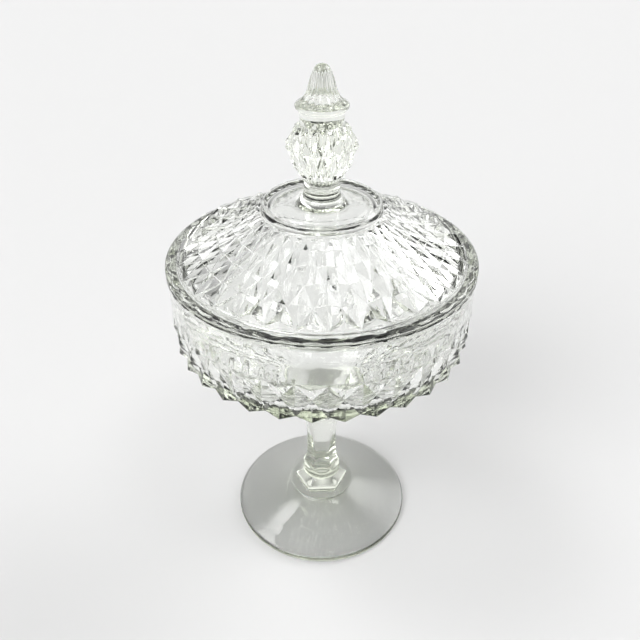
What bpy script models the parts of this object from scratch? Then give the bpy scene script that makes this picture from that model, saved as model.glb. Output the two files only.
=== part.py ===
"""Covered candy dish in pressed glass: a footed bowl and its lift-off lid.

Metres, +Z up. The origin is the middle of the foot's resting plane, on the axis of both
pieces. Each piece is one pressing, so each is one closed body turned from one outline. The
outline is a list of rows. A row is a circle round the axis, and its points can step in and
out by turns, which makes the diamond points, the flutes and the scallops.
"""
import math

import bmesh
import bpy

# Pattern
DIAMONDS = 32             # diamond points round the bowl and round the lid
DIAMOND_RISE = 0.16       # height of a diamond point, as a share of its width
EDGE_PULL = 0.24          # how far a half diamond's point stands back from the pattern's edge, in rows
EDGE_RISE = 0.95          # height of a half diamond's point, as a share of a whole one's
EDGE_LEDGE = 0.0007       # plain ledge between the pattern's edge and the tips of its zigzag
SUNK_EDGE_RISE = 0.35     # the same share where the points are sunk flush into a plain wall

# Dish: radii and widths
RIM_RADIUS = 0.085        # outside of the rim, and of the lid's flange
RIM_WIDTH = 0.0060        # top face of the rim, from outside to inside
LIP_PROUD = 0.0007        # how far the lip stands out from the wall below it
BOWL_WALL = 0.0050        # glass between the roots of the diamonds and the inside
FOOT_RADIUS = 0.057
REST_WIDTH = 0.006        # flat ring that the foot stands on
FOOT_CROWN_RADIUS = 0.0225  # where the foot's slope meets the stem's base
BASE_RING_RADIUS = 0.0172   # six-sided ring on the foot
COLLAR_RADIUS = 0.0122      # round collar above that ring
STEM_RADIUS = 0.0095        # corner of the six-sided stem at its waist
FLARE_RADIUS = 0.0195       # where the stem's flare turns under the bowl
BOWL_BOTTOM_RADIUS = 0.028  # inner edge of the diamonds under the bowl

# Dish: heights, from the table up
FOOT_EDGE = 0.0042        # thickness of the foot at its edge
FOOT_HOLLOW = 0.0050      # how far the middle of the foot's underside is raised
FOOT_RISE = 0.0165        # top of the foot's slope
BASE_HEIGHT = 0.0185      # ring and collar
STEM_HEIGHT = 0.0330      # waist of the stem
FLARE_HEIGHT = 0.0370     # stem's flare, up to the diamonds
CONE_HEIGHT = 0.0430      # underside of the bowl, up to its shoulder
WALL_HEIGHT = 0.0225      # upright wall with diamonds
BAND_HEIGHT = 0.0230      # plain band below the rim
LIP_HEIGHT = 0.0028       # lip at the top of the band
UNDER_ROWS = 6            # rows of diamonds under the bowl
FLOOR_RADIUS = 0.012      # nearly flat middle of the bowl's floor

# Lid
SEAT_GAP = 0.0003         # between the rim's top face and the lid's flange
SKIRT_PLAY = 0.0010       # between the bowl's mouth and the skirt, all round
SKIRT_DEPTH = 0.0050      # how far the skirt reaches into the bowl
SKIRT_WALL = 0.0030
LID_WALL = 0.0032         # glass between the roots of the diamonds and the inside
FLANGE_HEIGHT = 0.0030    # thickness of the flange at the diamonds
FLANGE_WIDTH = 0.0068     # from the flange's edge to the diamonds
SCALLOP = 0.0013          # depth of the scallops round the flange's upper edge
DOME_HEIGHT = 0.0250      # diamonds' rise from the flange to the plateau
DOME_BOW = 0.26           # 0 is a straight cone, 1 a bowl-shaped one
DOME_ROWS = 5             # rows of diamonds on the dome
PLATEAU_RADIUS = 0.0333   # inner edge of the diamonds on the dome
PLATEAU_RISE = 0.0043     # plateau above the diamonds' inner edge
BEAD_INSET = 0.0031       # from the diamonds' inner edge to the raised ring on the plateau
BEAD_HEIGHT = 0.0008

# Finial, from the plateau up
NECK_RADIUS = 0.0094
NECK_FILLET = 0.0056        # widening of the neck where it meets the plateau
NECK_HEIGHT = 0.0150
KNOP_RADIUS = 0.0165        # faceted knop, without its points
KNOP_HEIGHT = 0.0265
KNOP_POINTS = 16
KNOP_RISE = 0.0017          # height of the knop's points
WAIST_RADIUS = 0.0112       # smooth waist between the knop and the cap
WAIST_HEIGHT = 0.0076
CAP_OVERHANG = 0.0022       # how far the disc of the cap stands out past the waist
CAP_EDGE = 0.0028           # thickness of the disc's edge
SPIRE_RADIUS = 0.0073       # foot of the pointed spire
SPIRE_TIP_RADIUS = 0.0038   # where the spire starts to round over
SPIRE_HEIGHT = 0.0183       # from the disc's upper edge to the tip
FLUTE_DEPTH = 0.0011        # flutes of the cap and the spire

COLUMNS = 2 * DIAMONDS      # points in a full row
HALF_COLUMNS = 2            # columns that share a point in a half row
SIDES = 6                   # sides of the stem
MERGE = 1e-7                # points closer than this are one point

GLASS_COLOUR = (0.86, 0.91, 0.88, 1.0)
GLASS_ROUGHNESS = 0.03
GLASS_IOR = 1.52


class Row:
    """One turn of an outline: a circle, with every second point moved if alternate is given."""

    def __init__(self, radius, height, alternate=None, parity=0, raised=False, half=False, sides=0.0):
        self.radius = radius
        self.height = height
        self.alternate = alternate      # (radius, height) of every second point
        self.parity = parity            # which points alternate is for
        self.raised = raised            # the alternate points are the tops of diamonds
        self.step = HALF_COLUMNS if half else 1
        self.sides = sides              # 0 is round, 1 is six-sided

    def is_alternate(self, column):
        return self.alternate is not None and (column // self.step + self.parity) % 2 == 1

    def point(self, column):
        column -= column % self.step
        radius, height = self.alternate if self.is_alternate(column) else (self.radius, self.height)
        turn = column / COLUMNS
        corner = round(turn * SIDES)
        if abs(turn - corner / SIDES) * COLUMNS < self.step / 2:
            turn += (corner / SIDES - turn) * self.sides
        off_flat = (turn * SIDES) % 1.0 - 0.5
        flat = math.cos(math.pi / SIDES) / math.cos(2 * math.pi * off_flat / SIDES)
        radius *= 1.0 + (flat - 1.0) * self.sides
        angle = 2 * math.pi * turn
        return radius * math.cos(angle), radius * math.sin(angle), height


def between(a, b, share):
    return a + (b - a) * share


def mix(a, b, share):
    """The point that lies a share of the way from a to b."""
    return tuple(between(p, q, share) for p, q in zip(a, b))


def arc(start, end, bulge, count):
    """Points from start to end along a quarter of an ellipse; bulge picks the side it swells to."""
    points = []
    for i in range(count + 1):
        angle = math.pi / 2 * i / count
        across, along = math.sin(angle), 1.0 - math.cos(angle)
        if bulge == "out":
            points.append((between(start[0], end[0], across), between(start[1], end[1], along)))
        else:
            points.append((between(start[0], end[0], along), between(start[1], end[1], across)))
    return points


def rings(points, half=False, sides=0.0):
    return [Row(radius, height, half=half, sides=sides) for radius, height in points]


def diamond_rows(root, points_round=DIAMONDS, rise=None, half=False, last_rise=EDGE_RISE):
    """Rows of pyramids whose valleys lie on the root line, with half diamonds at both ends."""
    rows = []
    last = len(root) - 1
    for k, (radius, height) in enumerate(root):
        before, after = root[max(k - 1, 0)], root[min(k + 1, last)]
        run, climb = after[0] - before[0], after[1] - before[1]
        length = math.hypot(run, climb)
        lift = diamond_lift(radius, points_round) if rise is None else rise
        middle = (radius, height)
        if k == 0:
            middle = mix(root[0], root[1], EDGE_PULL)
        elif k == last:
            middle = mix(root[last], root[last - 1], EDGE_PULL)
        if k in (0, last):
            lift *= EDGE_RISE if k == 0 else last_rise
        top = (middle[0] + lift * climb / length, middle[1] - lift * run / length)
        rows.append(Row(radius, height, alternate=top, parity=k, raised=True, half=half))
    return rows


def turned_body(name, rows, material, collection):
    """Spins the rows round Z, places each point where its row says, and closes the body."""
    mesh = bpy.data.meshes.new(name)
    bm = bmesh.new()
    row_of = bm.verts.layers.int.new("row")
    outline = [bm.verts.new((row.radius, 0.0, row.height)) for row in rows]
    for number, vert in enumerate(outline):
        vert[row_of] = number
    edges = [bm.edges.new(pair) for pair in zip(outline, outline[1:])]
    bmesh.ops.spin(bm, geom=outline + edges, cent=(0, 0, 0), axis=(0, 0, 1), dvec=(0, 0, 0),
                   angle=2 * math.pi, steps=COLUMNS, use_merge=True)

    raised = bm.verts.layers.int.new("raised")
    columns = {}
    for vert in bm.verts:
        row = rows[vert[row_of]]
        column = round(math.atan2(vert.co.y, vert.co.x) / (2 * math.pi) * COLUMNS) % COLUMNS
        # points on the axis have no angle, and all fall together whatever their column
        columns[vert] = column
        vert[raised] = int(row.raised and row.is_alternate(column))
    for vert, column in columns.items():
        vert.co = rows[vert[row_of]].point(column)
    bmesh.ops.remove_doubles(bm, verts=bm.verts[:], dist=MERGE)

    # every facet beside a diamond's top folds along the valley, and not across the top
    for face in [f for f in bm.faces if len(f.verts) == 4]:
        a, b, c, d = face.verts
        if a[raised] or c[raised]:
            bmesh.utils.face_split(face, b, d)
        elif b[raised] or d[raised]:
            bmesh.utils.face_split(face, a, c)
    bmesh.ops.recalc_face_normals(bm, faces=bm.faces[:])
    bm.to_mesh(mesh)
    bm.free()

    piece = bpy.data.objects.new(name, mesh)
    piece.data.materials.append(material)
    collection.objects.link(piece)
    return piece


def pressed_glass(name):
    material = bpy.data.materials.new(name)
    material.use_nodes = True
    shader = material.node_tree.nodes["Principled BSDF"]
    shader.inputs["Base Color"].default_value = GLASS_COLOUR
    shader.inputs["Roughness"].default_value = GLASS_ROUGHNESS
    shader.inputs["Metallic"].default_value = 0.0
    shader.inputs["Transmission Weight"].default_value = 1.0
    shader.inputs["IOR"].default_value = GLASS_IOR
    return material


def geometric(first, last, count):
    """Radii from first to last in even ratios, so that every diamond keeps the same shape."""
    return [first * (last / first) ** (i / count) for i in range(count + 1)]


def diamond_lift(radius, points_round=DIAMONDS):
    """Height of a whole diamond's point above its roots, at a radius."""
    return DIAMOND_RISE * 2 * math.pi * radius / points_round


# Sizes that follow from the ones above
BASE_TOP = FOOT_RISE + BASE_HEIGHT
WAIST_TOP = BASE_TOP + STEM_HEIGHT
CONE_BOTTOM = WAIST_TOP + FLARE_HEIGHT
SHOULDER = CONE_BOTTOM + CONE_HEIGHT
WALL_TOP = SHOULDER + WALL_HEIGHT
RIM_TOP = WALL_TOP + BAND_HEIGHT
SEAT = RIM_TOP + SEAT_GAP
FLANGE_TOP = SEAT + FLANGE_HEIGHT
PLATEAU_TOP = FLANGE_TOP + DOME_HEIGHT + PLATEAU_RISE
MOUTH_RADIUS = RIM_RADIUS - RIM_WIDTH
WALL_RADIUS = RIM_RADIUS - LIP_PROUD
WALL_ROOT = WALL_RADIUS - diamond_lift(WALL_RADIUS)
SHOULDER_RADIUS = WALL_ROOT - 0.1 * diamond_lift(WALL_RADIUS)
FLARE_TOP = (FLARE_RADIUS, WAIST_TOP + 0.62 * FLARE_HEIGHT)


def foot_rows():
    """Underside, resting ring, rounded edge and slope of the foot."""
    rest_outside = FOOT_RADIUS - FOOT_EDGE / 2
    rest_inside = rest_outside - REST_WIDTH
    rows = rings([(0.0, FOOT_HOLLOW), (rest_inside * 0.55, FOOT_HOLLOW * 0.8)], half=True)
    rows += rings([(rest_inside, 0.0), (rest_outside, 0.0)])
    rows += rings([(FOOT_RADIUS - FOOT_EDGE / 8, FOOT_EDGE / 4), (FOOT_RADIUS, FOOT_EDGE / 2),
                   (FOOT_RADIUS - FOOT_EDGE / 4, FOOT_EDGE)])
    slope_top = (FOOT_CROWN_RADIUS, FOOT_RISE)
    middle = mix((FOOT_RADIUS, FOOT_EDGE), slope_top, 0.6)
    rows += rings([(middle[0], middle[1] - FOOT_RISE * 0.08)])
    rows += rings([slope_top], half=True)
    return rows


def stem_rows():
    """Six-sided ring, round collar, six-sided waist and the flare below the bowl."""
    ring_low = between(FOOT_RISE, BASE_TOP, 0.12)
    ring_high = between(FOOT_RISE, BASE_TOP, 0.42)
    groove = between(FOOT_RISE, BASE_TOP, 0.55)
    collar_low = between(FOOT_RISE, BASE_TOP, 0.67)
    groove_radius = between(COLLAR_RADIUS, BASE_RING_RADIUS, 0.35)
    rows = rings([(BASE_RING_RADIUS, ring_low), (BASE_RING_RADIUS, ring_high)], half=True, sides=1.0)
    rows += rings([(groove_radius, groove)], half=True, sides=0.4)
    rows += rings([(COLLAR_RADIUS, collar_low), (COLLAR_RADIUS, BASE_TOP)], half=True)
    waist_low = between(BASE_TOP, WAIST_TOP, 0.35)
    waist_high = between(BASE_TOP, WAIST_TOP, 0.8)
    taper = (between(STEM_RADIUS, COLLAR_RADIUS, 0.35), between(BASE_TOP, waist_low, 0.5))
    rows += rings([taper, (STEM_RADIUS, waist_low), (STEM_RADIUS, waist_high)], half=True, sides=1.0)
    flare = arc((STEM_RADIUS, waist_high), FLARE_TOP, "in", 4)[1:]
    for number, (radius, height) in enumerate(flare):
        rows.append(Row(radius, height, half=True, sides=1.0 - (number + 1) / len(flare)))
    return rows


def under_height(radius):
    """Height of the diamonds' roots under the bowl, at a radius."""
    share = (radius - BOWL_BOTTOM_RADIUS) / (SHOULDER_RADIUS - BOWL_BOTTOM_RADIUS)
    return CONE_BOTTOM + CONE_HEIGHT * share


def bowl_outside_rows():
    """Diamonds under the bowl and up its wall, and the plain band with its lip."""
    radii = geometric(BOWL_BOTTOM_RADIUS, SHOULDER_RADIUS, UNDER_ROWS)
    root = [(radius, under_height(radius)) for radius in radii]
    root += [(WALL_ROOT, SHOULDER + WALL_HEIGHT / 2), (WALL_RADIUS, WALL_TOP)]
    ledge = EDGE_LEDGE / math.dist(root[0], FLARE_TOP)
    rows = rings([mix(root[0], FLARE_TOP, ledge)])
    rows += diamond_rows(root, last_rise=SUNK_EDGE_RISE)
    rows += rings([(WALL_RADIUS, WALL_TOP + EDGE_LEDGE), (WALL_RADIUS, RIM_TOP - LIP_HEIGHT),
                   (RIM_RADIUS, RIM_TOP - 0.7 * LIP_HEIGHT), (RIM_RADIUS, RIM_TOP - 0.3 * LIP_HEIGHT),
                   (RIM_RADIUS - 0.15 * RIM_WIDTH, RIM_TOP)])
    return rows


def bowl_inside_rows():
    """Rim's inner edge, wall, rounded corner, sloping bottom and floor of the bowl."""
    slant = SHOULDER_RADIUS - BOWL_BOTTOM_RADIUS
    lifted = BOWL_WALL * math.hypot(CONE_HEIGHT, slant) / slant
    corner = (MOUTH_RADIUS, under_height(MOUTH_RADIUS) + lifted)
    wall_foot = (MOUTH_RADIUS, corner[1] + 0.5 * WALL_HEIGHT)
    cone_foot = (BOWL_BOTTOM_RADIUS, CONE_BOTTOM + lifted)
    cone_top = mix(corner, cone_foot, 0.2)
    round_middle = mix(mix(wall_foot, corner, 0.5), mix(corner, cone_top, 0.5), 0.5)
    edge = 0.1 * RIM_WIDTH
    rows = rings([(MOUTH_RADIUS + edge, RIM_TOP), (MOUTH_RADIUS, RIM_TOP - edge), wall_foot])
    rows += rings([round_middle, cone_top, mix(cone_top, cone_foot, 0.5), cone_foot], half=True)
    floor = cone_foot[1] - 0.10 * CONE_HEIGHT
    rows += rings([(FLOOR_RADIUS, floor), (0.0, floor - 0.01 * CONE_HEIGHT)], half=True)
    return rows


def dome_height(radius, outer):
    """Height of the diamonds' roots above the flange's top face, at a radius."""
    share = (outer - radius) / (outer - PLATEAU_RADIUS)
    return DOME_HEIGHT * ((1.0 - DOME_BOW) * share + DOME_BOW * share * share)


def lid_inside_rows():
    """Inside of the dome from the middle out, and the skirt that keeps the lid on the bowl."""
    outer = RIM_RADIUS - FLANGE_WIDTH
    skirt_outside = MOUTH_RADIUS - SKIRT_PLAY
    skirt_inside = skirt_outside - SKIRT_WALL
    drop = LID_WALL * math.hypot(DOME_HEIGHT, outer - PLATEAU_RADIUS) / (outer - PLATEAU_RADIUS)
    ceiling = PLATEAU_TOP - drop
    rows = rings([(0.0, ceiling), (0.6 * PLATEAU_RADIUS, ceiling)], half=True)
    for share in (1.0, 0.66, 0.33):
        radius = between(skirt_inside, PLATEAU_RADIUS, share)
        rows += rings([(radius, FLANGE_TOP + dome_height(radius, outer) - drop)], half=True)
    skirt_top = FLANGE_TOP + dome_height(skirt_inside, outer) - drop
    skirt_edge = RIM_TOP - 0.85 * SKIRT_DEPTH
    rows += rings([(skirt_inside, skirt_top), (skirt_inside, skirt_edge),
                   (between(skirt_inside, skirt_outside, 0.5), RIM_TOP - SKIRT_DEPTH),
                   (skirt_outside, skirt_edge), (skirt_outside, SEAT)])
    return rows


def lid_outside_rows():
    """Flange with its scalloped upper edge, diamonds, and the plateau with its raised ring."""
    outer = RIM_RADIUS - FLANGE_WIDTH
    scallop_radius = RIM_RADIUS - 0.3 * FLANGE_WIDTH
    rows = rings([(RIM_RADIUS - 0.1 * FLANGE_WIDTH, SEAT), (RIM_RADIUS, SEAT + 0.25 * FLANGE_HEIGHT)])
    rows.append(Row(scallop_radius, FLANGE_TOP, alternate=(scallop_radius - SCALLOP, FLANGE_TOP)))
    rows += rings([(outer + EDGE_LEDGE, FLANGE_TOP)])
    radii = geometric(outer, PLATEAU_RADIUS, DOME_ROWS)
    rows += diamond_rows([(radius, FLANGE_TOP + dome_height(radius, outer)) for radius in radii])
    rows += rings([(PLATEAU_RADIUS - EDGE_LEDGE, FLANGE_TOP + DOME_HEIGHT + 0.1 * PLATEAU_RISE)])
    bead_radius = PLATEAU_RADIUS - BEAD_INSET
    rows += rings([(bead_radius + 1.6 * BEAD_HEIGHT, PLATEAU_TOP), (bead_radius, PLATEAU_TOP + BEAD_HEIGHT),
                   (bead_radius - 1.4 * BEAD_HEIGHT, PLATEAU_TOP)])
    return rows


def finial_rows():
    """Neck, faceted knop, waist, fluted cap and spire of the finial."""
    knop_low = PLATEAU_TOP + NECK_HEIGHT
    knop_high = knop_low + KNOP_HEIGHT
    neck_foot = NECK_RADIUS + NECK_FILLET
    rows = rings([(neck_foot, PLATEAU_TOP),
                  (between(NECK_RADIUS, neck_foot, 0.3), between(PLATEAU_TOP, knop_low, 0.1)),
                  (NECK_RADIUS, between(PLATEAU_TOP, knop_low, 0.5)),
                  (1.04 * NECK_RADIUS, knop_low - EDGE_LEDGE)], half=True)
    root = [(1.08 * NECK_RADIUS, knop_low), (0.84 * KNOP_RADIUS, between(knop_low, knop_high, 0.28)),
            (KNOP_RADIUS, between(knop_low, knop_high, 0.60)), (1.06 * WAIST_RADIUS, knop_high)]
    rows += diamond_rows(root, KNOP_POINTS, KNOP_RISE, half=True)

    cap_low = knop_high + WAIST_HEIGHT
    cap_high = cap_low + CAP_EDGE
    cap_radius = WAIST_RADIUS + CAP_OVERHANG
    rounding = CAP_EDGE / 4
    rows += rings([(WAIST_RADIUS, knop_high + EDGE_LEDGE), (WAIST_RADIUS, between(knop_high, cap_low, 0.6)),
                   (cap_radius - rounding, cap_low), (cap_radius, between(cap_low, cap_high, 0.5)),
                   (cap_radius - rounding, cap_high)], half=True)

    tip = cap_high + SPIRE_HEIGHT
    petal_foot = (cap_radius - 2 * rounding, between(cap_high, tip, 0.07))
    petal_top = (SPIRE_RADIUS, between(cap_high, tip, 0.35))
    crown = between(cap_high, tip, 0.82)
    for radius, height in arc(petal_foot, petal_top, "out", 2) + [(SPIRE_TIP_RADIUS, crown)]:
        depth = FLUTE_DEPTH * min(1.0, radius / SPIRE_RADIUS)
        rows.append(Row(radius, height, alternate=(radius - depth, height - 0.3 * depth), half=True))
    rows += rings([(0.6 * SPIRE_TIP_RADIUS, between(crown, tip, 0.75)), (0.0, tip)], half=True)
    return rows


def main():
    for old in list(bpy.data.objects):
        bpy.data.objects.remove(old, do_unlink=True)
    collection = bpy.data.collections.new("covered_candy_dish")
    bpy.context.scene.collection.children.link(collection)
    glass = pressed_glass("pressed_glass")
    dish = foot_rows() + stem_rows() + bowl_outside_rows() + bowl_inside_rows()
    lid = lid_inside_rows() + lid_outside_rows() + finial_rows()
    turned_body("dish", dish, glass, collection)
    turned_body("lid", lid, glass, collection)


main()
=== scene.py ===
# %% Load the frame
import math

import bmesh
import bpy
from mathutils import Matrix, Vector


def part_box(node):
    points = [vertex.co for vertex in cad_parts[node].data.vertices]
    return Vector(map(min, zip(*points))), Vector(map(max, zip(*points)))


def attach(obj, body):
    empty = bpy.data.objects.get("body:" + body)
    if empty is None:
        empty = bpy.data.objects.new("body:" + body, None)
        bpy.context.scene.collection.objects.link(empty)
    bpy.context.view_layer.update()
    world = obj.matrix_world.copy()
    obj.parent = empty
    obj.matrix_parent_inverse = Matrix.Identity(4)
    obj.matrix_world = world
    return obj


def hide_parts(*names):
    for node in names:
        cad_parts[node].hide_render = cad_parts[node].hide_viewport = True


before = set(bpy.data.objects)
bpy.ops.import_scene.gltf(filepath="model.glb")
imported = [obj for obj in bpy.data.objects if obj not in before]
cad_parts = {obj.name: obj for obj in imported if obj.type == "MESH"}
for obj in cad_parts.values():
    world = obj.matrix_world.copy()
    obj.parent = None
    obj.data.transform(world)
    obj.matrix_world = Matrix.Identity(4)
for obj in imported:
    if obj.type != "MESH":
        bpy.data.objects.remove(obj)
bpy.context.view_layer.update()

# %% [markdown]
# # A covered candy dish in pressed glass
# The dish and its lid are two pressings of clear glass with a faint green tint. Hot glass is
# squeezed between an outer mould, which carries the diamond points, and a plain plunger, which
# leaves the inside smooth. So both pieces are round, and everything on them is either turned or
# repeated round the axis. The frame gives a plain solid for each piece. Here each one is made
# again with the softened edges and the small wear that make glass look like glass.

MM = 0.001
dish_high, lid_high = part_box("dish")[1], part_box("lid")[1]
RIM = dish_high.x / MM           # radius of the rim
RIM_TOP = dish_high.z / MM
TIP = lid_high.z / MM
print(f"rim {RIM:.1f} mm in radius and {RIM_TOP:.1f} mm up, the lid's tip {TIP:.1f} mm up")

# %% [markdown]
# ## Turning an outline
# A turned shape starts as half of its outline, drawn in the plane y = 0, and bmesh's spin
# carries it round the axis. A layer on the points keeps the number of the outline point that
# each one came from, because spin copies layers. That gives every ring of points a number, so a
# later step can pick out one ring and flute it, scallop it or pull it into a hexagon.

# %% Spin an outline into numbered rings
SMOOTH_STEPS = 192               # steps round the plain parts


def new_shape():
    """An empty bmesh with its layers, which are made first because a new layer drops old handles."""
    bm = bmesh.new()
    bm.verts.layers.int.new("ring")
    bm.faces.layers.float.new("facet")
    bm.faces.layers.float.new("softened")
    return bm


def turn(bm, outline, steps=SMOOTH_STEPS):
    """Spins (radius, height) points, in millimetres, and returns the rings of points in order."""
    number = bm.verts.layers.int["ring"]
    start = [bm.verts.new((radius * MM, 0.0, height * MM)) for radius, height in outline]
    for index, vert in enumerate(start):
        vert[number] = index
    edges = [bm.edges.new(pair) for pair in zip(start, start[1:])]
    before = set(bm.verts) - set(start)
    bmesh.ops.spin(bm, geom=start + edges, cent=(0, 0, 0), axis=(0, 0, 1), dvec=(0, 0, 0),
                   angle=2 * math.pi, steps=steps, use_merge=True)
    rings = [[None] * steps for _ in outline]
    for vert in set(bm.verts) - before:
        turned = math.atan2(vert.co.y, vert.co.x) / (2 * math.pi) * steps
        if math.hypot(vert.co.x, vert.co.y) > 1e-7:
            rings[vert[number]][round(turned) % steps] = vert
    return rings


# %% [markdown]
# ## Curves of an outline
# Pressed glass has no sharp outside corners, because the skin of hot glass pulls every edge round
# while it is still soft. Each bend of the outline is one simple curve: it leaves a point towards
# a pull point and comes into the next point from it, as a draughtsman's curve does. A few points
# are enough, since the faces between them are shaded smooth.

# %% Curves and edges of an outline
def curve(start, pull, end, count):
    """Points on a smooth curve that leaves start towards pull and comes into end from it."""
    points = []
    for i in range(count + 1):
        t = i / count
        points.append(tuple(a * (1 - t) ** 2 + 2 * b * t * (1 - t) + c * t * t
                            for a, b, c in zip(start, pull, end)))
    return points


def ring_edges(ring):
    """The edges that join a ring's neighbouring points."""
    pairs = zip(ring, ring[1:] + ring[:1])
    return [a.link_edges[[e.other_vert(a) for e in a.link_edges].index(b)] for a, b in pairs]


print(f"a quarter bend in three steps: {curve((0.0, 0.0), (1.0, 0.0), (1.0, 1.0), 3)}")

# %% [markdown]
# ## Rounded hexagons
# The stem is pressed with six flat sides. Pulling a ring in to a hexagon is one formula: the
# distance to the nearest side, divided by the cosine of the angle to it. Adding up the three
# pairs of sides with a high power, and not just taking the nearest, rounds the corners off.

# %% Pull a ring into a hexagon
CORNER_POWER = 34                # higher is sharper


def hexagon(angle):
    """Radius of a hexagon of corner radius 1, at an angle from one of its corners."""
    total = sum(abs(math.cos(angle - math.radians(side))) ** CORNER_POWER for side in (30, 90, 150))
    return math.cos(math.pi / 6) / total ** (1 / CORNER_POWER)


def make_six_sided(ring, share=1.0):
    for index, vert in enumerate(ring):
        factor = 1 + (hexagon(2 * math.pi * index / len(ring)) - 1) * share
        vert.co.xy *= factor


print(f"a corner keeps {hexagon(0):.3f} of its radius and a side's middle {hexagon(math.pi / 6):.3f}")

# %% [markdown]
# ## Diamond points
# The pattern is a net of low pyramids in rows, each row half a step on from the last. Spinning
# the band with two steps for every diamond gives the right net: every second point of a ring is
# pushed out to be a tip, and its four neighbours stay down in the valleys. The square faces
# beside a tip are split from valley to valley, so that each tip has four flat sides. A small
# bevel on the ridges gives the soft glint of fire-polished glass.

# %% Push out the tips and split the faces
DIAMONDS = 32                    # tips round the bowl and round the lid
RISE = 0.19                      # height of a tip, as a share of its width
SOFTEN = 0.30                    # width in millimetres of a softened ridge on the bowl
CRISP = 0.22                     # the same on the lid
SUNK_TIP = 0.35                  # height of the tips where the diamonds run into the plain band
PULL = 0.24                      # how far a half diamond's tip stands back from the band's edge


def diamond_net(bm, rings, rise, first=0.95, last=0.95):
    """Raises the tips of a band by rise times their radius, and returns the tips."""
    roots = [[vert.co.copy() for vert in ring] for ring in rings]
    tips = []
    top_ring = len(rings) - 1
    for k, ring in enumerate(rings):
        for c, vert in enumerate(ring):
            if (c + k) % 2 == 0:
                continue
            low, high = roots[max(k - 1, 0)][c], roots[min(k + 1, top_ring)][c]
            along = (high - low).normalized()
            round_axis = Vector((-vert.co.y, vert.co.x, 0)).normalized()
            outward = round_axis.cross(along).normalized()
            lift = rise * roots[k][c].xy.length
            if k == 0:
                vert.co = roots[0][c].lerp(roots[1][c], PULL)
                lift *= first
            elif k == top_ring:
                vert.co = roots[k][c].lerp(roots[k - 1][c], PULL)
                lift *= last
            vert.co += outward * lift
            tips.append(vert)
    return tips


def split_beside(bm, tips):
    """Splits every square face beside a tip from valley to valley, and returns the tips' ridges."""
    marked = set(tips)
    ridges = {edge for tip in tips for edge in tip.link_edges}
    for face in {face for tip in tips for face in tip.link_faces if len(face.verts) == 4}:
        a, b, c, d = face.verts
        if a in marked or c in marked:
            bmesh.utils.face_split(face, b, d)
        else:
            bmesh.utils.face_split(face, a, c)
    return ridges


def cut_diamonds(bm, rings, rise, soften, first=0.95, last=0.95):
    """Makes a band of diamonds from its rings, with softened ridges."""
    tips = diamond_net(bm, rings, rise, first, last)
    inside = {vert for ring in rings for vert in ring}
    ridges = [edge for edge in split_beside(bm, tips) if set(edge.verts) <= inside]
    facet, softened = bm.faces.layers.float["facet"], bm.faces.layers.float["softened"]
    for face in {face for vert in inside for face in vert.link_faces}:
        face.smooth = False
        face[facet] = 1.0
    made = bmesh.ops.bevel(bm, geom=ridges, offset=soften * MM, segments=2, profile=0.5,
                           affect="EDGES", clamp_overlap=True, material=-1)
    for face in made["faces"]:
        face.smooth = True
        face[softened] = 1.0
    return len(tips)


# %% [markdown]
# ## From parts to one closed piece
# The plain parts are turned in 192 steps and the diamonds in 64, so their rings don't have the
# same number of points. Bridging the two rings fills the gap with triangles, and the joint falls
# on a narrow ledge where it doesn't show. A piece has to be closed, because light is bent at both
# skins of the glass, and only a closed shell has an inside that can absorb any of it.

# %% Join the parts of a piece and close it
def shade_smooth(rings):
    for face in {face for ring in rings for vert in ring if vert for face in vert.link_faces}:
        face.smooth = True


def join_rings(bm, lower, upper):
    """Bridges two open rings, which may have different numbers of points."""
    made = bmesh.ops.bridge_loops(bm, edges=ring_edges(lower) + ring_edges(upper))
    for face in made["faces"]:
        face.smooth = True


def finish_piece(bm, name, material, body, node):
    """Closes the poles, turns the faces outwards, and hands the piece to its body."""
    bmesh.ops.remove_doubles(bm, verts=bm.verts[:], dist=2e-6)
    bmesh.ops.recalc_face_normals(bm, faces=bm.faces[:])
    for edge in bm.edges:
        edge.smooth = len(edge.link_faces) == 2 and edge.calc_face_angle(0) < math.radians(32)
    open_edges = sum(1 for edge in bm.edges if len(edge.link_faces) != 2)
    mesh = bpy.data.meshes.new(name)
    bm.to_mesh(mesh)
    bm.free()
    piece = bpy.data.objects.new(name, mesh)
    piece.data.materials.append(material)
    bpy.context.scene.collection.objects.link(piece)
    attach(piece, body)
    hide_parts(node)
    mesh.calc_loop_triangles()
    print(f"{name}: {len(mesh.loop_triangles)} triangles, {open_edges} open edges")
    return piece


# %% [markdown]
# ## Glass that came out of a mould
# Clear glass needs three things: plain transmission with the refraction of soda glass, a little
# absorption inside, which tints only the thick parts green, and a skin that isn't perfect. The
# skin has long, low ripples from the mould, a thin seam where its three parts met, ridges that
# years of washing have dulled, and a film of handling. Each effect is a node group that puts out
# a height or a roughness, so that both materials can use it with their own values.

# %% A small helper for node groups
def new_group(name, inputs, outputs):
    """An empty shader node group; inputs are (name, value) pairs."""
    group = bpy.data.node_groups.new(name, "ShaderNodeTree")
    for label, value in inputs:
        kind = "NodeSocketVector" if value is None else "NodeSocketFloat"
        socket = group.interface.new_socket(label, in_out="INPUT", socket_type=kind)
        if value is not None:
            socket.default_value = value
    for label in outputs:
        group.interface.new_socket(label, in_out="OUTPUT", socket_type="NodeSocketFloat")
    return group, group.nodes.new("NodeGroupInput"), group.nodes.new("NodeGroupOutput")


def maths(tree, operation, *values):
    """A Math node; each value is a number or a socket to link from."""
    node = tree.nodes.new("ShaderNodeMath")
    node.operation = operation
    for socket, value in zip(node.inputs, values):
        if isinstance(value, (int, float)):
            socket.default_value = value
        else:
            tree.links.new(value, socket)
    return node.outputs[0]


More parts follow.
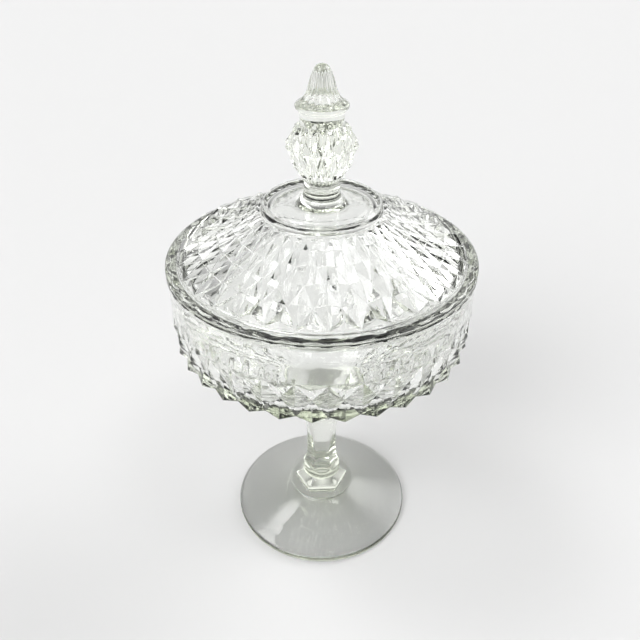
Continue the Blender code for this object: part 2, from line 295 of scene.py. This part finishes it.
def noise(tree, place, scale, detail):
    node = tree.nodes.new("ShaderNodeTexNoise")
    node.inputs["Detail"].default_value = detail
    tree.links.new(place, node.inputs["Vector"])
    if isinstance(scale, (int, float)):
        node.inputs["Scale"].default_value = scale
    else:
        tree.links.new(scale, node.inputs["Scale"])
    return node.outputs["Fac"]


# %% [markdown]
# ## Ripples of the mould
# The inside of an iron mould is polished by hand, and hot glass chills in folds against it. So
# plain glass bends what is seen through it in long, lazy waves. Two noises do this: one with waves
# about 12 mm long, and a fine one that adds an eighth. The facets were pressed against
# flat cut metal, so they keep only an eighth of the waves.

# %% Ripples of the mould
FACET_RIPPLE = 0.12              # share of the waves that a facet keeps
ripple_group, given, result = new_group(
    "mould_ripple",
    [("Place", None), ("Facet", 0.0), ("Long", 85.0), ("Short", 420.0), ("Short Share", 0.12)],
    ["Height"])
long_wave = noise(ripple_group, given.outputs["Place"], given.outputs["Long"], 1.0)
short_wave = noise(ripple_group, given.outputs["Place"], given.outputs["Short"], 2.0)
waves = maths(ripple_group, "MULTIPLY_ADD", short_wave, given.outputs["Short Share"], long_wave)
plainness = maths(ripple_group, "MULTIPLY_ADD", given.outputs["Facet"], FACET_RIPPLE - 1, 1.0)
ripple_group.links.new(maths(ripple_group, "MULTIPLY", waves, plainness), result.inputs["Height"])

# %% [markdown]
# ## Seams of the mould
# The outer mould opens in three parts, and each joint leaves a hair of glass that the flame
# nearly melts away again. The group turns a position into an angle, counts it in thirds of a
# turn, and makes the distance from the nearest joint into a low ridge of the same width all the
# way down. Nothing shows on the facets, because the joints run along their ridges.

# %% Seams where the mould's parts met
seam_group, given, result = new_group(
    "mould_seam",
    [("Place", None), ("Facet", 0.0), ("Parts", 3.0), ("Turn", 0.0), ("Width", 0.0005)],
    ["Height"])
split = seam_group.nodes.new("ShaderNodeSeparateXYZ")
seam_group.links.new(given.outputs["Place"], split.inputs["Vector"])
x, y = split.outputs["X"], split.outputs["Y"]
angle = maths(seam_group, "ARCTAN2", y, x)
turns = maths(seam_group, "MULTIPLY_ADD", angle, 0.5 / math.pi, given.outputs["Turn"])
part = maths(seam_group, "FRACT", maths(seam_group, "MULTIPLY", turns, given.outputs["Parts"]))
off = maths(seam_group, "ABSOLUTE", maths(seam_group, "SUBTRACT", part, 0.5))
radius = maths(seam_group, "SQRT", maths(seam_group, "ADD", maths(seam_group, "MULTIPLY", x, x),
                                         maths(seam_group, "MULTIPLY", y, y)))
part_width = maths(seam_group, "DIVIDE", maths(seam_group, "MULTIPLY", radius, 2 * math.pi),
                   given.outputs["Parts"])
distance = maths(seam_group, "MULTIPLY", off, part_width)
line = seam_group.nodes.new("ShaderNodeMapRange")
line.interpolation_type = "SMOOTHERSTEP"
line.inputs["To Min"].default_value, line.inputs["To Max"].default_value = 1.0, 0.0
seam_group.links.new(distance, line.inputs["Value"])
seam_group.links.new(given.outputs["Width"], line.inputs["From Max"])
plain_only = maths(seam_group, "SUBTRACT", 1.0, given.outputs["Facet"])
ridge = maths(seam_group, "MULTIPLY", line.outputs["Result"], plain_only)
seam_group.links.new(ridge, result.inputs["Height"])

# %% [markdown]
# ## What years of use do
# Glass doesn't rust or fade, but it scratches. The foot's ring slides on shelves, the flange turns
# on the rim, and the ridges touch whatever the dish is washed or packed with. All three show as
# roughness. The rest is never perfectly clear either, because hands and drying water leave a thin,
# uneven film.

# %% Dulled ridges, rubbed seats and the film of handling
wear_group, given, result = new_group(
    "handling_wear",
    [("Place", None), ("Softened", 0.0), ("Low Seat", 0.0), ("High Seat", 1.0), ("Low Rub", 0.3),
     ("High Rub", 0.05), ("Clean", 0.004), ("Film", 0.02), ("Dull", 0.05)],
    ["Roughness"])
split = wear_group.nodes.new("ShaderNodeSeparateXYZ")
wear_group.links.new(given.outputs["Place"], split.inputs["Vector"])


def near_height(level):
    """1 within a quarter of a millimetre of a level, fading to 0 a little further off."""
    gap = maths(wear_group, "ABSOLUTE", maths(wear_group, "SUBTRACT", split.outputs["Z"], level))
    fade = wear_group.nodes.new("ShaderNodeMapRange")
    fade.inputs["From Min"].default_value, fade.inputs["From Max"].default_value = 0.00025, 0.0007
    fade.inputs["To Min"].default_value, fade.inputs["To Max"].default_value = 1.0, 0.0
    wear_group.links.new(gap, fade.inputs["Value"])
    return fade.outputs["Result"]


near_low, near_high = near_height(given.outputs["Low Seat"]), near_height(given.outputs["High Seat"])
low_rub = maths(wear_group, "MULTIPLY", near_low, given.outputs["Low Rub"])
high_rub = maths(wear_group, "MULTIPLY", near_high, given.outputs["High Rub"])
scratches = noise(wear_group, given.outputs["Place"], 900.0, 3.0)
smears = wear_group.nodes.new("ShaderNodeMapRange")
smears.inputs["From Min"].default_value, smears.inputs["From Max"].default_value = 0.48, 0.66
wear_group.links.new(noise(wear_group, given.outputs["Place"], 38.0, 2.0), smears.inputs["Value"])
filmed = maths(wear_group, "MULTIPLY_ADD", smears.outputs["Result"], given.outputs["Film"],
               given.outputs["Clean"])
dulled = maths(wear_group, "MULTIPLY_ADD", given.outputs["Softened"], given.outputs["Dull"], filmed)
rubbed = maths(wear_group, "ADD", low_rub, high_rub)
total = maths(wear_group, "MULTIPLY_ADD", rubbed, scratches, dulled)
wear_group.links.new(total, result.inputs["Roughness"])
print(f"{len(bpy.data.node_groups)} node groups: {', '.join(g.name for g in bpy.data.node_groups)}")


# %% [markdown]
# ## The two glasses
# Both pieces were pressed from the same pot of glass, but each one rubs at its own heights and has
# its seams turned its own way, so each has its own material. Transmission and the refraction of
# soda glass, 1.52, are plain values. The green isn't on the skin but in the glass: every
# millimetre takes away a little red and more blue, so a thin wall is clear and a thick one is tinted.

# %% The two glasses
def pressed_glass(name, low_seat, low_rub, high_seat, seam_turn, tint, density):
    """Clear pressed glass; seats are the heights in millimetres where the piece rubs on something."""
    material = bpy.data.materials.new(name)
    material.use_nodes = True
    tree = material.node_tree
    shader = tree.nodes["Principled BSDF"]
    shader.inputs["Base Color"].default_value = (0.997, 1.0, 0.997, 1.0)
    shader.inputs["Metallic"].default_value = 0.0
    shader.inputs["Transmission Weight"].default_value = 1.0
    shader.inputs["IOR"].default_value = 1.52

    place = tree.nodes.new("ShaderNodeTexCoord").outputs["Object"]
    marks = {}
    for layer in ("facet", "softened"):
        mark = tree.nodes.new("ShaderNodeAttribute")
        mark.attribute_name = layer
        marks[layer] = mark.outputs["Fac"]

    def placed(group, **values):
        node = tree.nodes.new("ShaderNodeGroup")
        node.node_tree = group
        tree.links.new(place, node.inputs["Place"])
        for label, value in values.items():
            node.inputs[label.replace("_", " ")].default_value = value
        return node

    ripple, seam = placed(ripple_group), placed(seam_group, Turn=seam_turn)
    wear = placed(wear_group, Low_Seat=low_seat * MM, Low_Rub=low_rub, High_Seat=high_seat * MM)
    for node in (ripple, seam):
        tree.links.new(marks["facet"], node.inputs["Facet"])
    tree.links.new(marks["softened"], wear.inputs["Softened"])
    tree.links.new(wear.outputs["Roughness"], shader.inputs["Roughness"])

    ripple_bump = tree.nodes.new("ShaderNodeBump")
    ripple_bump.inputs["Strength"].default_value = 1.0
    ripple_bump.inputs["Distance"].default_value = 0.00022
    tree.links.new(ripple.outputs["Height"], ripple_bump.inputs["Height"])
    seam_bump = tree.nodes.new("ShaderNodeBump")
    seam_bump.inputs["Strength"].default_value = 1.0
    seam_bump.inputs["Distance"].default_value = 0.00004
    tree.links.new(seam.outputs["Height"], seam_bump.inputs["Height"])
    tree.links.new(ripple_bump.outputs["Normal"], seam_bump.inputs["Normal"])
    tree.links.new(seam_bump.outputs["Normal"], shader.inputs["Normal"])

    absorb = tree.nodes.new("ShaderNodeVolumeAbsorption")
    absorb.inputs["Color"].default_value = tint
    absorb.inputs["Density"].default_value = density
    tree.links.new(absorb.outputs["Volume"], tree.nodes["Material Output"].inputs["Volume"])
    return material


GREEN = (0.83, 0.875, 0.73, 1.0)
ABSORPTION = 15.0                # how strongly the tint builds up with thickness
SEAT_GAP = 0.3
SEAT = RIM_TOP + SEAT_GAP        # underside of the lid's flange
dish_material = pressed_glass("dish_pressed_glass", 0.0, 0.3, RIM_TOP, 0.04, GREEN, ABSORPTION)
lid_material = pressed_glass("lid_pressed_glass", SEAT - 5.3, 0.08, SEAT, 0.11, GREEN, ABSORPTION)

# %% [markdown]
# ## The dish: foot and stem
# The foot is a shallow cone with a hollow underside, so that it stands on a flat ring and never
# rocks on its middle. The stem was pressed with it: a six-sided ring, a round collar, and a
# six-sided shaft that flares out under the bowl. One outline runs from the middle of the
# underside, round the foot's edge and up the stem, and the rings of the six-sided parts are
# pulled in afterwards, some only part of the way where a round shape turns into a hexagon.

# %% Outline of the foot
foot = curve((0.0, 5.0), (32.0, 4.6), (48.9, 0.0), 10)
foot += [(54.6, 0.0)]
foot += curve((54.6, 0.0), (57.0, 0.1), (57.0, 2.2), 4)[1:]
foot += curve((57.0, 2.2), (57.0, 4.1), (55.0, 4.5), 4)[1:]
foot += curve((55.0, 4.5), (33.6, 10.1), (22.5, 16.5), 12)[1:]
foot += curve((22.5, 16.5), (20.6, 17.6), (20.2, 18.4), 3)[1:]
print(f"the foot's outline has {len(foot)} points")

# %% Outline of the stem
base_ring = [(16.9, 18.9), (17.3, 20.4), (17.3, 22.9), (16.5, 24.3), (14.1, 26.6)]
collar = [(12.1, 28.2), (12.35, 30.2), (12.2, 33.6), (11.5, 35.1)]
waist = [(10.6, 38.6), (9.9, 43.0), (9.5, 48.0), (9.5, 54.0), (9.5, 60.0)]
flare = curve((9.5, 61.4), (10.0, 79.5), (19.5, 90.9), 12)[1:]
flare += curve(flare[-1], (23.4, 96.0), (27.6, 104.0), 6)[1:]
stem = base_ring + collar + waist + flare

# %% Turn the foot and the stem
bm = new_shape()
rings = turn(bm, foot + stem)
for face in bm.faces:
    face.smooth = True
six = {len(foot) + i: share for i, share in enumerate([1, 1, 1, 1, 0.6, 0, 0, 0, 0.1, 0.7, 1, 1, 1, 1])}
first_flare = len(foot) + len(base_ring + collar + waist)
six.update({first_flare + i: max(0.0, 1 - (i + 1) / 11) for i in range(11)})
for index, share in six.items():
    make_six_sided(rings[index], share)
foot_top = rings[-1]

# %% [markdown]
# ## The bowl's diamonds
# The pattern climbs the cone under the bowl in six steps and the upright wall in two. The cone's
# steps grow by one ratio, which keeps a diamond's shape the same from the bottom row to the top.
# At both edges the pattern ends half way through a diamond, so the edge is a zigzag of tips.

# %% Outline of the diamonds' roots, from the stem to the plain band
BOWL_BOTTOM, SHOULDER = (28.0, 105.0), (81.4, 148.0)
ROWS_UNDER = 6
ratio = SHOULDER[0] / BOWL_BOTTOM[0]
slope = (SHOULDER[1] - BOWL_BOTTOM[1]) / (SHOULDER[0] - BOWL_BOTTOM[0])
under = [BOWL_BOTTOM[0] * ratio ** (i / ROWS_UNDER) for i in range(ROWS_UNDER + 1)]
bowl_roots = [(r, BOWL_BOTTOM[1] + (r - BOWL_BOTTOM[0]) * slope) for r in under]
bowl_roots += [(81.65, 159.25), (84.3, 170.5)]
net = turn(bm, [(27.75, 104.5)] + bowl_roots + [(84.3, 171.2)], steps=2 * DIAMONDS)
net_bottom, net_top = net[0], net[-1]
tips = cut_diamonds(bm, net[1:-1], RISE * 2 * math.pi / DIAMONDS, SOFTEN, last=SUNK_TIP)
print(f"{tips} tips on the bowl")

# %% [markdown]
# ## Band, rim and inside
# The plunger leaves the inside plain: an upright wall, a wide bend at the shoulder, a cone and a
# nearly flat floor. The lip stands a little proud of the band, and its edges are well rounded, so
# that it doesn't chip when the lid comes down on it.

# %% Plain band, rim and inside of the bowl
band = [(84.3, 171.6), (84.3, 180.0), (84.3, 190.2), (84.45, 190.7), (85.0, 191.3), (85.0, 192.5)]
band += curve((85.0, 192.5), (85.0, 193.5), (84.0, 193.5), 3)[1:]
inside = curve((79.9, 193.5), (79.0, 193.5), (79.0, 192.6), 3)
inside += [(79.0, 186.0), (79.0, 177.0), (79.0, 168.0), (79.0, 161.5)]
inside += curve((79.0, 158.5), (79.0, 150.4), (71.5, 146.0), 8)
inside += [(60.0, 136.9), (48.0, 127.4), (36.0, 117.9)]
inside += curve((28.0, 111.6), (20.0, 107.2), (9.0, 107.0), 6)
inside += [(0.0, 106.9)]
shell = turn(bm, band + inside)
shade_smooth(shell)
join_rings(bm, foot_top, net_bottom)
join_rings(bm, net_top, shell[0])
finish_piece(bm, "dish_glass", dish_material, "dish", "dish")

# %% [markdown]
# ## The lid: skirt and flange
# The skirt drops into the mouth of the bowl with a millimetre to spare and keeps the lid from
# sliding off. The flange rests on the rim. Its lower edge is plain and clear, and its upper edge
# is scalloped, with one scallop for each diamond, so that light breaks up along it in a dark wave.
# The outline starts under the middle of the dome and comes round the skirt to the flange's top.

# %% Inside of the dome, the skirt and the flange
FLANGE_TOP = SEAT + 3.0
PLATEAU = FLANGE_TOP + 29.3
bm = new_shape()
lining = [(0.0, PLATEAU - 3.7), (12.0, PLATEAU - 3.7)]
lining += curve((20.0, PLATEAU - 3.8), (27.0, PLATEAU - 3.9), (33.3, PLATEAU - 8.0), 5)
lining += curve((33.3, PLATEAU - 8.0), (50.0, PLATEAU - 20.5), (72.5, SEAT + 1.4), 10)[1:]
lining += curve((72.5, SEAT + 1.4), (75.0, SEAT + 0.7), (75.0, SEAT - 0.8), 3)[1:]
lining += [(75.0, SEAT - 3.6)]
lining += curve((75.0, SEAT - 4.2), (75.0, SEAT - 5.3), (76.5, SEAT - 5.3), 3)
lining += curve((76.5, SEAT - 5.3), (78.0, SEAT - 5.3), (78.0, SEAT - 4.2), 3)[1:]
lining += [(78.0, SEAT - 2.0), (78.0, SEAT - 0.4), (78.4, SEAT), (81.0, SEAT)]
edge = [(84.2, SEAT)] + curve((84.2, SEAT), (85.0, SEAT), (85.0, SEAT + 0.7), 3)[1:]
edge += curve((85.0, SEAT + 0.9), (85.0, SEAT + 1.35), (84.5, SEAT + 1.4), 3)
scallops = [(83.85, SEAT + 1.45), (83.65, SEAT + 1.7), (83.55, SEAT + 2.5), (83.3, SEAT + 2.9),
            (82.8, SEAT + 3.0)]
ledge = [(80.6, SEAT + 3.0), (79.4, SEAT + 3.0)]
SCALLOP = 1.3                    # depth of the scallops, one for each diamond
shell = turn(bm, lining + edge + scallops + ledge)
first_scallop = len(lining + edge)
for ring in shell[first_scallop:first_scallop + len(scallops)]:
    for index, vert in enumerate(ring):
        wave = 0.5 - 0.5 * math.cos(DIAMONDS * 2 * math.pi * index / len(ring))
        vert.co.xy *= 1 - wave * SCALLOP / (vert.co.xy.length / MM)
flange_ledge = shell[-1]

# %% [markdown]
# ## The dome's diamonds
# The pattern climbs the dome in five steps that get smaller by one ratio, as they have to when the
# same number of diamonds goes round a smaller ring. The dome is a cone with a slight bow, which is
# stiffer than a flat cone and throws the light of each row a little differently.

# %% Diamonds of the dome
OUTER, INNER, DOME_RISE, BOW, DOME_ROWS = 78.2, 33.3, 25.0, 0.26, 5
DOME_POINT = 0.22                # height of a tip, as a share of its width
dome_roots = []
for i in range(DOME_ROWS + 1):
    radius = OUTER * (INNER / OUTER) ** (i / DOME_ROWS)
    share = (OUTER - radius) / (OUTER - INNER)
    dome_roots.append((radius, FLANGE_TOP + DOME_RISE * ((1 - BOW) * share + BOW * share * share)))
dome_outline = [(OUTER + 0.6, FLANGE_TOP)] + dome_roots + [(INNER - 0.6, FLANGE_TOP + DOME_RISE + 0.35)]
net = turn(bm, dome_outline, steps=2 * DIAMONDS)
dome_bottom, dome_top = net[0], net[-1]
tips = cut_diamonds(bm, net[1:-1], DOME_POINT * 2 * math.pi / DIAMONDS, CRISP)
print(f"{tips} tips on the lid")

# %% [markdown]
# ## Plateau, bead and neck
# The diamonds stop at a plain disc with a bead round it, where the mould's ring that carries the
# finial met the rest. The neck rises from the disc in one smooth bend.

# %% Plateau, bead and neck
plateau = [(INNER - 0.9, FLANGE_TOP + DOME_RISE + 0.6)]
plateau += curve((32.0, PLATEAU - 1.6), (31.7, PLATEAU), (31.3, PLATEAU), 3)
plateau += curve((30.9, PLATEAU + 0.2), (30.2, PLATEAU + 1.1), (29.5, PLATEAU + 0.2), 4)
plateau += [(28.8, PLATEAU), (24.0, PLATEAU), (18.5, PLATEAU)]
plateau += curve((15.0, PLATEAU + 0.1), (10.2, PLATEAU + 0.9), (9.4, PLATEAU + 6.5), 7)
plateau += [(9.4, PLATEAU + 11.0), (9.8, PLATEAU + 14.3)]
shell_top = turn(bm, plateau)

# %% [markdown]
# ## The knop
# The finial has to be gripped with wet or buttery fingers, so it swells out to a knop with big
# points. It is the same net as the diamonds, with sixteen points round and only three steps up.

# %% Knop
KNOP_POINTS = 16
KNOP_POINT = 0.15                # how far a point stands out, as a share of the knop's radius
KNOP_SOFTEN = 0.20
KNOP_LOW, KNOP_HIGH = PLATEAU + 15.0, PLATEAU + 41.5
knop_roots = [(10.15, KNOP_LOW), (13.9, KNOP_LOW + 7.4), (16.5, KNOP_LOW + 15.9), (11.9, KNOP_HIGH)]
knop = turn(bm, [(9.8, KNOP_LOW - 0.4)] + knop_roots + [(11.2, KNOP_HIGH + 0.5)], steps=2 * KNOP_POINTS)
tips = cut_diamonds(bm, knop[1:-1], KNOP_POINT, KNOP_SOFTEN)
knop_bottom, knop_top = knop[0], knop[-1]
print(f"{tips} tips on the knop")

# %% [markdown]
# ## The cap and the spire
# Above a smooth waist sits a cap whose top sweeps up into a spire. Sixteen hollow flutes start at
# the cap's edge as rounded petals and narrow as they run up to the blunt tip. A flute is a ring
# pulled in between sixteen ridges, deep in the petals and shallow at the tip.

# %% Cap and spire
CAP_LOW = KNOP_HIGH + 7.6
cap = [(11.2, KNOP_HIGH + 0.9), (11.15, KNOP_HIGH + 3.0), (11.3, KNOP_HIGH + 5.4)]
cap += curve((11.3, KNOP_HIGH + 5.4), (11.5, CAP_LOW), (12.9, CAP_LOW + 0.1), 4)[1:]
cap += curve((12.9, CAP_LOW + 0.1), (13.4, CAP_LOW + 0.6), (13.4, CAP_LOW + 1.4), 3)[1:]
cap += curve((13.4, CAP_LOW + 1.4), (13.4, CAP_LOW + 2.5), (12.7, CAP_LOW + 2.8), 3)[1:]
petals = curve((12.3, CAP_LOW + 3.1), (8.7, CAP_LOW + 4.4), (7.3, CAP_LOW + 9.2), 8)
spire = curve(petals[-1], (6.1, CAP_LOW + 13.6), (4.6, CAP_LOW + 17.6), 6)[1:]
tip = curve(spire[-1], (3.4, TIP), (0.0, TIP), 7)[1:]
crown = turn(bm, cap + petals + spire + tip)
FLUTES = 16
depths = [0.35, 0.8, 1.05, 1.15, 1.15, 1.1, 1.05, 1.0, 0.95, 0.9, 0.85, 0.75, 0.65, 0.5, 0.3]
for ring, depth in zip(crown[len(cap):], depths):
    for index, vert in enumerate(ring):
        hollow = abs(math.sin(FLUTES * math.pi * index / len(ring))) ** 0.8
        vert.co.xy *= 1 - hollow * depth / (vert.co.xy.length / MM)

# %% Join the lid
shade_smooth(shell + shell_top + crown)
join_rings(bm, flange_ledge, dome_bottom)
join_rings(bm, dome_top, shell_top[0])
join_rings(bm, shell_top[-1], knop_bottom)
join_rings(bm, knop_top, crown[0])
finish_piece(bm, "lid_glass", lid_material, "lid", "lid")

# %% [markdown]
# ## Floor, room and camera
# Clear glass has no look of its own: it shows the room. A pale floor and a pale horizon keep it
# light, and a darker ceiling and a dark side behind the camera draw the facets in grey. Two wide,
# low windows send light under the bowl to the foot, and two small, high ones put white glints on
# the facets of the lid. All four have soft edges, which leaves hardly any shadow.

# %% Floor
floor_mesh = bpy.data.meshes.new("floor")
bm = bmesh.new()
bmesh.ops.create_circle(bm, cap_ends=True, segments=64, radius=30.0)
bm.to_mesh(floor_mesh)
bm.free()
floor = bpy.data.objects.new("floor", floor_mesh)
bpy.context.scene.collection.objects.link(floor)
paper = bpy.data.materials.new("floor_paper")
paper.use_nodes = True
paper.node_tree.nodes["Principled BSDF"].inputs["Base Color"].default_value = (0.68, 0.68, 0.68, 1)
paper.node_tree.nodes["Principled BSDF"].inputs["Roughness"].default_value = 0.8
paper.node_tree.nodes["Principled BSDF"].inputs["Specular IOR Level"].default_value = 0.0
floor.data.materials.append(paper)
floor.location.z = -0.0002

# %% A pale room, darker overhead and behind the camera
world = bpy.data.worlds.new("studio")
bpy.context.scene.world = world
world.use_nodes = True
sky, wires = world.node_tree.nodes, world.node_tree.links
direction = sky.new("ShaderNodeTexCoord")
parts = sky.new("ShaderNodeSeparateXYZ")
wires.new(direction.outputs["Generated"], parts.inputs["Vector"])


def room_side(levels):
    """A ramp from the horizon to overhead; levels are (height, brightness) pairs."""
    ramp = sky.new("ShaderNodeValToRGB")
    stops = ramp.color_ramp.elements
    for index, (height, level) in enumerate(levels):
        stop = stops[index] if index < 2 else stops.new(height)
        stop.position = height
        stop.color = (level, level, level, 1)
    wires.new(parts.outputs["Z"], ramp.inputs["Fac"])
    return ramp.outputs["Color"]


far_side = room_side([(0.0, 1.05), (1.0, 0.15), (0.15, 1.05), (0.40, 0.60), (0.70, 0.20)])
near_side = room_side([(0.0, 1.05), (1.0, 0.15), (0.10, 1.0), (0.24, 0.30), (0.60, 0.10)])
side = sky.new("ShaderNodeMapRange")
side.interpolation_type = "SMOOTHSTEP"
side.inputs["From Min"].default_value, side.inputs["From Max"].default_value = 0.25, -0.55
wires.new(parts.outputs["Y"], side.inputs["Value"])
room = sky.new("ShaderNodeMix")
room.data_type = "FLOAT"
wires.new(side.outputs["Result"], room.inputs["Factor"])
wires.new(far_side, room.inputs["A"])
wires.new(near_side, room.inputs["B"])


# %% Four soft round windows
def add_window(light, azimuth, elevation, inner, outer, brightness):
    """Adds a round window; azimuth 0 is behind the object, and inner and outer bound its soft edge."""
    a, e = math.radians(azimuth), math.radians(elevation)
    towards = sky.new("ShaderNodeVectorMath")
    towards.operation = "DOT_PRODUCT"
    level = math.cos(e)
    towards.inputs[1].default_value = (math.sin(a) * level, math.cos(a) * level, math.sin(e))
    wires.new(direction.outputs["Generated"], towards.inputs[0])
    pane = sky.new("ShaderNodeMapRange")
    pane.interpolation_type = "SMOOTHSTEP"
    pane.inputs["From Min"].default_value = math.cos(math.radians(outer))
    pane.inputs["From Max"].default_value = math.cos(math.radians(inner))
    wires.new(towards.outputs["Value"], pane.inputs["Value"])
    return maths(world.node_tree, "MULTIPLY_ADD", pane.outputs["Result"], brightness, light)


WINDOWS = [(-135, 37, 6, 28, 4.6), (62, 34, 5, 26, 3.2), (-70, 62, 3, 13, 6.0), (130, 66, 3, 12, 5.0)]
light = room.outputs["Result"]
for azimuth, elevation, inner, outer, brightness in WINDOWS:
    light = add_window(light, azimuth, elevation, inner, outer, brightness)
wires.new(light, sky["Background"].inputs["Color"])
sky["Background"].inputs["Strength"].default_value = 1.2

# %% A soft lamp overhead
key = bpy.data.lights.new("soft_key", "SUN")
key.energy = 0.35
key.angle = math.radians(70)
key_lamp = bpy.data.objects.new("soft_key", key)
key_lamp.rotation_euler = (math.radians(28), math.radians(-24), 0)
bpy.context.scene.collection.objects.link(key_lamp)

# %% Camera
camera_data = bpy.data.cameras.new("camera")
camera_data.lens = 39.5
camera_data.sensor_width = 36
camera = bpy.data.objects.new("camera", camera_data)
camera.location = (-0.014, -0.338, 0.385)
aim = Vector((-0.001, 0.0, 0.150))
camera.rotation_euler = (aim - camera.location).to_track_quat("-Z", "Y").to_euler()
bpy.context.scene.collection.objects.link(camera)
bpy.context.scene.camera = camera
bpy.context.scene.view_settings.view_transform = "Standard"
